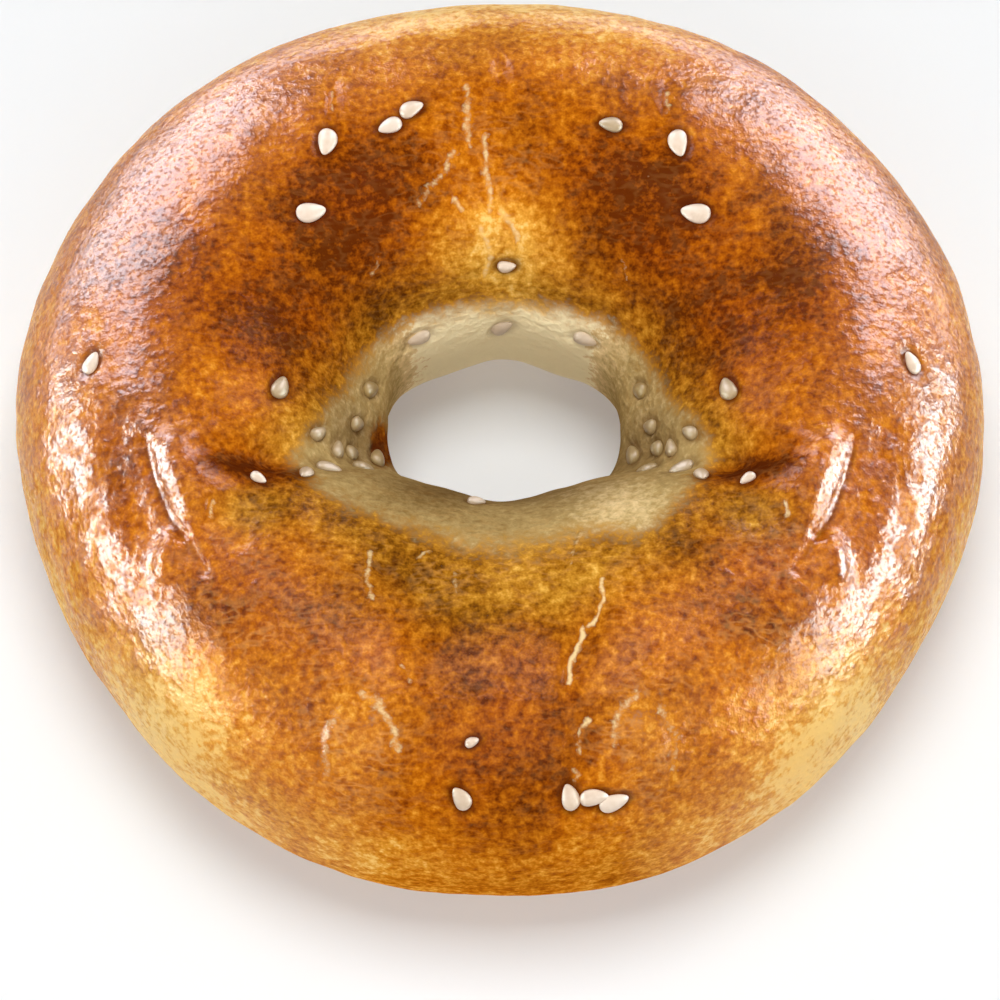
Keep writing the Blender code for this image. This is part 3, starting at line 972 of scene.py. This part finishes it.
def browned_colour(nodes, noises):
    """Golden to dark brown, orange on most of the crust and yellow-brown round the pale dough."""
    brown = nodes.vary(nodes.values("brown"), noises["patches"], by=0.5)
    brown = nodes.vary(brown, noises["mottle"], by=0.6)
    brown = nodes.vary(brown, noises["grain"], by=1.15, clamp=True)
    yellow = nodes.vary(nodes.values("halo"), noises["patches"], by=0.9, middle=0.45, clamp=True)
    return nodes.mix(yellow, nodes.colours(brown, CRUST_STOPS), nodes.colours(brown, HALO_STOPS))


def dough_colour(nodes, noises):
    """The pale dough in its tones, with painted light and shade on the hole's walls."""
    tone = nodes.vary(nodes.values("dough_tone_and_light"), noises["patches"], by=0.5, middle=0.0)
    tone = nodes.vary(tone, noises["grain"], by=0.9, middle=0.25, clamp=True)
    return nodes.colours(tone, PALE_STOPS)


def vein_and_highlight_share(nodes, noises):
    """Where fine veins show, partly as painted highlights: along the wrinkles' lines, in broken stretches."""
    line = nodes.math("ABSOLUTE", nodes.math("SUBTRACT", noises["wrinkle"], 0.5))
    vein = nodes.spread(line, 0.0, 0.13, to_low=0.34, to_high=0.0)
    broken = nodes.math("MULTIPLY", vein, nodes.spread(noises["mottle"], 0.4, 0.6))
    return nodes.math("MULTIPLY", broken, nodes.values("veined_and_highlit"))


def crust_colour(nodes, noises):
    """Browned crust and pale dough, with the marks that lie over them one by one, painted shade and
    highlights among them.
    """
    edge = nodes.vary(nodes.values("pale"), noises["mottle"], by=0.6)
    pale = nodes.spread(nodes.vary(edge, noises["grain"], by=0.5), 0.2, 0.9)
    # the scars' pale edges and painted highlights, made ragged
    torn = nodes.vary(nodes.values("scar_and_highlight"), noises["grain"], by=1.4)
    ring_shade_strength = nodes.math("MULTIPLY_ADD", pale, -0.55, 0.85)
    flour = nodes.spread(noises["mottle"], 0.35, 0.75, to_low=0.2, to_high=0.75)
    skin = nodes.mix(pale, browned_colour(nodes, noises), dough_colour(nodes, noises))
    for share, colour in [
        # painted shade in the hole's ends and on its near wall
        (nodes.values("painted_recess_shade"), PAINTED_SHADE_COLOUR),
        # pale veins, partly painted highlights
        (vein_and_highlight_share(nodes, noises), VEIN_AND_HIGHLIGHT_COLOUR),
        # pale scar edges and painted highlights
        (nodes.spread(torn, 0.3, 1.0, to_high=0.85), SCAR_AND_HIGHLIGHT_COLOUR),
        # painted shade round the seeds and in the creases, weaker on the pale dough
        (nodes.math("MULTIPLY", nodes.values("ring"), ring_shade_strength), RING_SHADE_COLOUR),
        (nodes.math("MULTIPLY", nodes.values("underside"), flour), FOOT_COLOUR),
    ]:
        skin = nodes.mix(share, skin, srgb(*colour))
    return skin


def coat_weight(nodes, noises):
    """How thick the glaze is: pitted with specks, and missing in blotches."""
    pits = nodes.spread(noises["specks"], 0.36, 0.5, to_low=0.25, to_high=COAT_WEIGHT)
    thin = nodes.spread(noises["mottle"], 0.42, 0.54, to_low=0.8, to_high=0.0)
    gaps = nodes.math("MULTIPLY", nodes.values("blotched"), thin)
    pitted = nodes.math("MULTIPLY", nodes.values("glaze"), pits)
    return nodes.math("MULTIPLY", pitted, nodes.math("SUBTRACT", 1.0, gaps))


def crust_material():
    """Egg-washed crust: browned in patches, finely pebbled and glossy, but matt and pale by the hole."""
    nodes = Nodes("crust")
    noises = crust_noises(nodes)
    fine = nodes.math("MULTIPLY_ADD", noises["wrinkle"], 0.9, noises["grain"])
    relief = nodes.math("MULTIPLY_ADD", noises["mottle"], 0.35, nodes.math("MULTIPLY", fine, 0.2))
    swell = nodes.math("MULTIPLY_ADD", nodes.values("blotched"), 0.3, 0.12)
    film = nodes.math("MULTIPLY_ADD", noises["mottle"], swell, nodes.math("MULTIPLY", fine, 0.1))
    nodes.shade({
        "Base Color": crust_colour(nodes, noises),
        "Roughness": nodes.math("MULTIPLY_ADD", nodes.values("glaze"), -0.25, 0.62),
        "Normal": nodes.bump(relief, 1.0),
        "Specular IOR Level": 0.0,
        "Metallic": 0.0,
        "Coat Weight": coat_weight(nodes, noises),
        "Coat Normal": nodes.bump(film, 1.0),
        "Coat Roughness": 0.25,
        "Coat IOR": 1.6,
    })
    return nodes.material


def seed_material():
    """Hulled sesame: ivory with a faint grain, or tanned where the egg wash covers it, and painted darker as
    shade deep in the hole.
    """
    nodes = Nodes("sesame_seed")
    place = nodes.add("TexCoord").outputs["Object"]
    grain = nodes.noise(place, 0.6, detail=2)
    tone = nodes.math("MULTIPLY_ADD", nodes.values("tone"), 0.5, nodes.math("MULTIPLY", grain, 0.5))
    ivory = nodes.colours(tone, SEED_STOPS)
    nodes.shade({
        "Base Color": nodes.mix(nodes.values("bare"), srgb(*GLAZED_AND_SHADED_SEED_COLOUR), ivory),
        "Roughness": nodes.math("MULTIPLY_ADD", grain, 0.2, 0.35),
        "Normal": nodes.bump(grain, 0.05),
        "IOR": 1.47,
    })
    return nodes.material


def add_piece(name, mesh, material):
    """Puts a mesh into the scene as a smooth piece."""
    mesh.materials.append(material)
    mesh.shade_smooth()
    piece = bpy.data.objects.new(name, mesh)
    bpy.context.scene.collection.objects.link(piece)
    return piece


def centre_on_solid(meshes):
    """Lays the meshes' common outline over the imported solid's."""
    corners = np.concatenate([np.array([v.co for v in mesh.vertices]) for mesh in meshes])
    low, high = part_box("bagel")
    want = (low + high) / 2
    have = (corners.min(axis=0) + corners.max(axis=0)) / 2
    shift = Vector((want.x - have[0], want.y - have[1], low.z - corners[:, 2].min()))
    for mesh in meshes:
        mesh.transform(Matrix.Translation(shift))


def make_bagel():
    """The crust and its seeds, which ride on the bagel's body and replace its solid."""
    places = seed_places()
    crust, seats = crust_mesh(places)
    seeds = seeds_mesh(places, seats)
    centre_on_solid([crust, seeds])
    for name, mesh, material, slot in [
        ("crust", crust, crust_material(), "crust"),
        ("sesame_seeds", seeds, seed_material(), "sesame_seed"),
    ]:
        piece = add_piece(name, mesh, material)
        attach(piece, "root")
        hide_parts("bagel")


# Floor and light.
FLOOR_SIZE = 3.0
FLOOR_COLOUR = (0.64, 0.665, 0.69, 1)
FLOOR_ROUGHNESS = 0.9
FLOOR_GLOW = 0.21
SKY_TOP = (0.16, 0.16, 0.165, 1)
SKY_HORIZON = (0.46, 0.46, 0.47, 1)
# Each light: azimuth from +X, elevation, distance, width and height in metres, radiance, colour,
# and whether it lights the matt colours and the gloss.
MIDDLE_LIGHTS = {
    "overhead": (90, 85, 0.6, 0.27, 0.27, 12.3, (1.0, 0.99, 0.97), True, False),
    "front": (270, 42, 0.6, 0.5, 0.4, 2.0, (1.0, 0.97, 0.92), True, False),
}
# The same for lights that stand at the right and have their like at the left.
PAIRED_LIGHTS = {
    "fill": (-15, 15, 0.6, 0.5, 0.3, 0.7, (1.0, 0.97, 0.94), True, False),
    "back": (51, 25, 0.6, 0.36, 0.56, 15.0, (0.90, 0.90, 1.0), False, True),
    "back_low": (51, 0, 0.125, 0.2, 0.036, 5.0, (0.95, 0.92, 1.0), False, True),
    "side": (-10, 11, 0.22, 0.22, 0.13, 27.0, (0.78, 0.95, 1.0), False, True),
}


def aim(piece, place, target):
    """Places a light or camera and turns it towards the target."""
    piece.location = place
    piece.rotation_euler = (Vector(target) - Vector(place)).to_track_quat("-Z", "Y").to_euler()


def make_floor():
    """A wide, matt, pale floor that glows faintly."""
    bpy.ops.mesh.primitive_plane_add(size=FLOOR_SIZE, location=(0, 0, 0))
    floor = bpy.context.active_object
    floor.name = "floor"
    nodes = Nodes("floor")
    nodes.shade({
        "Base Color": FLOOR_COLOUR,
        "Roughness": FLOOR_ROUGHNESS,
        "Specular IOR Level": 0.0,
        "Emission Color": (1, 1, 1, 1),
        "Emission Strength": FLOOR_GLOW,
    })
    floor.data.materials.append(nodes.material)


def make_light(name, azimuth, elevation, distance, width, height, radiance, colour, on_matt, on_gloss):
    """One rectangular lamp that is turned to the bagel's middle."""
    azimuth, elevation = math.radians(azimuth), math.radians(elevation)
    flat = distance * math.cos(elevation)
    away = Vector((flat * math.cos(azimuth), flat * math.sin(azimuth), distance * math.sin(elevation)))
    middle = Vector((0, 0, HEIGHT / 2 * MM))
    lamp = bpy.data.lights.new(name, "AREA")
    lamp.shape = "RECTANGLE"
    lamp.size = width
    lamp.size_y = height
    lamp.energy = radiance * math.pi * width * height
    lamp.color = colour
    light = bpy.data.objects.new(name, lamp)
    light.visible_camera = False
    light.visible_diffuse = on_matt
    light.visible_glossy = on_gloss
    bpy.context.scene.collection.objects.link(light)
    aim(light, middle + away, middle)


def make_lights():
    """The lamps in the middle, and those that stand left and right alike."""
    for name, values in MIDDLE_LIGHTS.items():
        make_light(name, *values)
    for name, (azimuth, *others) in PAIRED_LIGHTS.items():
        make_light("right_" + name, azimuth, *others)
        make_light("left_" + name, 180 - azimuth, *others)


def make_sky():
    """Light from all round, paler near the horizon than overhead."""
    world = bpy.data.worlds.new("studio")
    world.use_nodes = True
    nodes = world.node_tree.nodes
    links = world.node_tree.links
    place = nodes.new("ShaderNodeTexCoord")
    parts = nodes.new("ShaderNodeSeparateXYZ")
    blend = nodes.new("ShaderNodeMix")
    blend.data_type = "RGBA"
    blend.inputs[6].default_value = SKY_HORIZON
    blend.inputs[7].default_value = SKY_TOP
    links.new(place.outputs["Generated"], parts.inputs["Vector"])
    links.new(parts.outputs["Z"], blend.inputs[0])
    links.new(blend.outputs[2], nodes["Background"].inputs["Color"])
    bpy.context.scene.world = world


def make_camera():
    """The camera, at the picture's angle."""
    lens = bpy.data.cameras.new("camera")
    lens.lens = CAMERA_LENS
    lens.sensor_width = SENSOR
    camera = bpy.data.objects.new("camera", lens)
    bpy.context.scene.collection.objects.link(camera)
    target = Vector(CAMERA_TARGET) * MM
    away = Vector((0, -math.cos(CAMERA_TILT), math.sin(CAMERA_TILT))) * CAMERA_DISTANCE * MM
    aim(camera, target + away, target)
    bpy.context.scene.camera = camera
    bpy.context.scene.view_settings.view_transform = "Standard"


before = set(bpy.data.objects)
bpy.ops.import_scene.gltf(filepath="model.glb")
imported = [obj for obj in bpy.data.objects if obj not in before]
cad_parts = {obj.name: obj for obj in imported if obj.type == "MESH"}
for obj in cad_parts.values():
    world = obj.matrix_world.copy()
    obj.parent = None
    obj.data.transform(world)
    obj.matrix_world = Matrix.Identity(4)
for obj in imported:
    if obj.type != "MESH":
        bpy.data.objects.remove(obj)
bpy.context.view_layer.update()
make_camera()
make_bagel()
make_floor()
make_lights()
make_sky()
